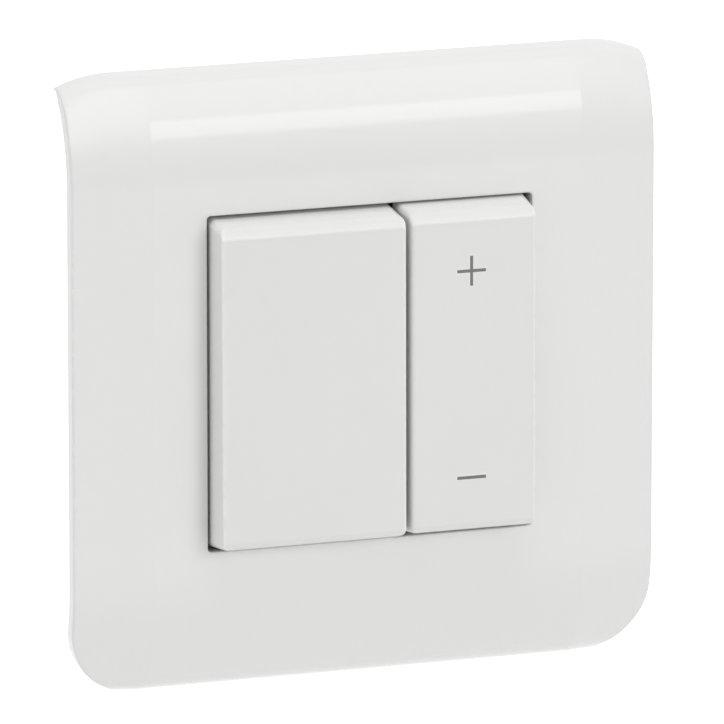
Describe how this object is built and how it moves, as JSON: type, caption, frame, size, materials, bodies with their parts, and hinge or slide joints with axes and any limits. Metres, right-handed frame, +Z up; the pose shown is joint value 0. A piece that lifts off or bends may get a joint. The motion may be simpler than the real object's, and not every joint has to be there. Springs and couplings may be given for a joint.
{
  "type": "dimmer switch insert",
  "caption": "Square white dimmer insert for a wall box: wide on-off key, narrow plus and minus key, bowed wall plate.",
  "frame": {"origin": "on the wall face, at the middle of the plate's square opening and of the box screws", "axes": "+X to the right, +Z up, +Y into the wall; the keys face -Y"},
  "size_m": [0.0808, 0.0478, 0.0827],
  "materials": {
    "plate_white": "gloss white moulding",
    "key_white": "satin white moulding",
    "mark_grey": "grey inlay",
    "frame_anthracite": "fine moulded texture",
    "support_grey": "fine moulded texture",
    "rocker_white": "plain moulded",
    "housing_grey": "fine moulded texture",
    "zinc_steel": "zinc plated",
    "terminal_brass": "plain",
    "stem_black": "plain moulded",
    "switch_black": "plain moulded",
    "dome_steel": "bright",
    "board_green": "solder resist",
    "chip_black": "moulded resin",
    "part_ceramic": "fired ceramic",
    "spacer_nylon": "plain moulded",
    "sink_aluminium": "extruded",
    "pad_silicone": "plain",
    "ferrite": "sintered",
    "copper_wire": "enamelled",
    "film_yellow": "resin filled box",
    "can_sleeve": "shrunk sleeve",
    "varistor_blue": "dipped resin",
    "fuse_brown": "plain moulded"
  },
  "bodies": {
    "base": {"wall_plate": "plate_white", "support_frame": "support_grey", "insert_frame": "frame_anthracite", "rear_housing": "housing_grey", "housing_screws": "zinc_steel", "control_board": "board_green", "control_chip": "chip_black", "chip_components": "part_ceramic", "board_spacers": "spacer_nylon", "header_body": "switch_black", "header_pins": "terminal_brass", "power_board": "board_green", "bridge_rectifier": "chip_black", "heat_sink": "sink_aluminium", "insulating_pads": "pad_silicone", "power_transistors": "chip_black", "transistor_screws": "zinc_steel", "choke_core": "ferrite", "choke_winding": "copper_wire", "film_capacitor": "film_yellow", "smoothing_capacitors": "can_sleeve", "varistor": "varistor_blue", "fuse": "fuse_brown", "terminal_block": "frame_anthracite", "terminal_clamps": "terminal_brass", "terminal_screws": "zinc_steel", "on_off_switch": "switch_black", "on_off_dome": "dome_steel", "plus_switch": "switch_black", "plus_dome": "dome_steel", "minus_switch": "switch_black", "minus_dome": "dome_steel"},
    "on_off": {"on_off_key": "key_white", "on_off_rocker": "rocker_white"},
    "dimmer": {"dimming_key": "key_white", "dimming_rocker": "rocker_white", "dimming_marks": "mark_grey"},
    "stem_on_off": {"on_off_stem": "stem_black"},
    "stem_plus": {"plus_stem": "stem_black"},
    "stem_minus": {"minus_stem": "stem_black"}
  },
  "joints": [
    {"name": "on_off_press", "type": "hinge", "parent": "base", "child": "on_off", "pos_m": [-0.0095, -0.005, 0.0175], "axis": [1, 0, 0], "range_deg": [0, 1.6], "stiffness_Nm_per_rad": 0.2, "springref_deg": -0.57},
    {"name": "dimming_rock", "type": "hinge", "parent": "base", "child": "dimmer", "pos_m": [0.0131, -0.005, 0], "axis": [1, 0, 0], "range_deg": [-2, 2], "stiffness_Nm_per_rad": 0.2},
    {"name": "on_off_stem_slide", "type": "slide", "parent": "base", "child": "stem_on_off", "axis": [0, 1, 0], "range_m": [0, 0.0004], "deforming": ["on_off_dome"]},
    {"name": "plus_stem_slide", "type": "slide", "parent": "base", "child": "stem_plus", "axis": [0, 1, 0], "range_m": [-0.0004, 0.0004], "deforming": ["plus_dome"]},
    {"name": "minus_stem_slide", "type": "slide", "parent": "base", "child": "stem_minus", "axis": [0, 1, 0], "range_m": [-0.0004, 0.0004], "deforming": ["minus_dome"]}
  ],
  "couplings": [
    {"joint": "on_off_stem_slide", "follows": "on_off_press", "m_per_rad": 0.014},
    {"joint": "plus_stem_slide", "follows": "dimming_rock", "m_per_rad": -0.011},
    {"joint": "minus_stem_slide", "follows": "dimming_rock", "m_per_rad": 0.011}
  ]
}
